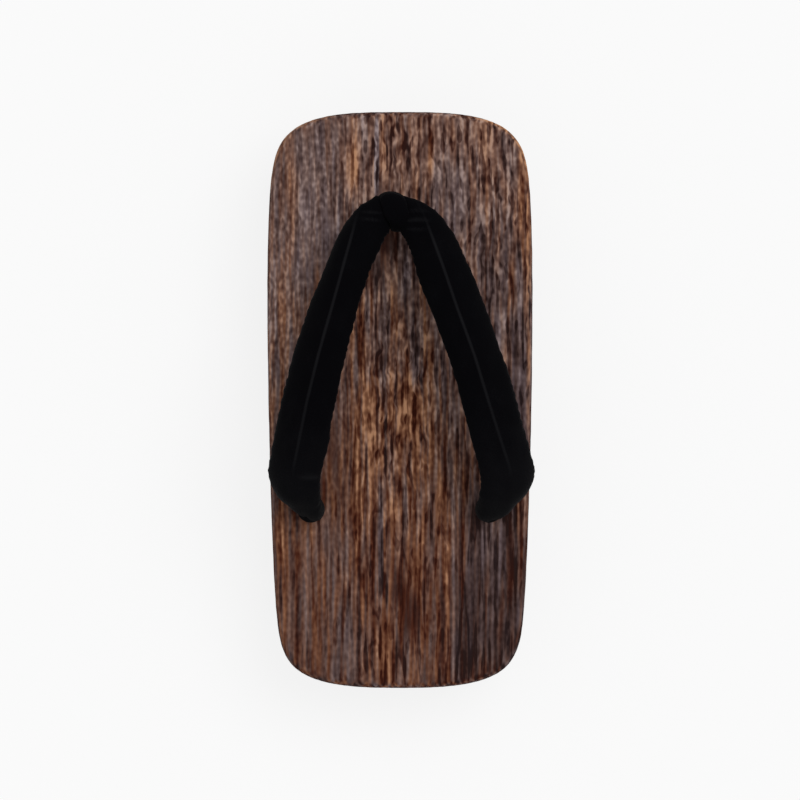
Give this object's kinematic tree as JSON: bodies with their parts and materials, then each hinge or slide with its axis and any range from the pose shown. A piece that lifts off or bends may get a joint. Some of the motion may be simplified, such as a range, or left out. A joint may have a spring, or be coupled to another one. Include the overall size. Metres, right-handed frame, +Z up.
{
  "type": "geta sandal",
  "caption": "Flat wooden geta sandal: a rounded footboard on crosswise teeth, with a padded velvet V strap and a toe loop. Fits either foot.",
  "frame": {"origin": "centre of the footprint's box, on the floor that the teeth stand on", "axes": "+Y towards the toe, +Z up from the floor, +X to the right as seen from above with the toe ahead"},
  "size_m": [0.1176, 0.255, 0.0888],
  "materials": {
    "board_wood": "charred and brushed paulownia with raised grain, matte",
    "tooth_wood": "charred and brushed paulownia, matte",
    "strap_velvet": "black cotton velvet over a padded core",
    "loop_velvet": "black velvet tube",
    "cord": "twisted black cotton cord"
  },
  "bodies": {
    "root": {"board": "board_wood", "front_tooth": "tooth_wood", "rear_tooth": "tooth_wood", "strap": "strap_velvet", "toe_loop": "loop_velvet", "toe_knot": "cord", "rear_knot": "cord", "strap_cord_left": "cord", "strap_cord_right": "cord"}
  },
  "joints": []
}
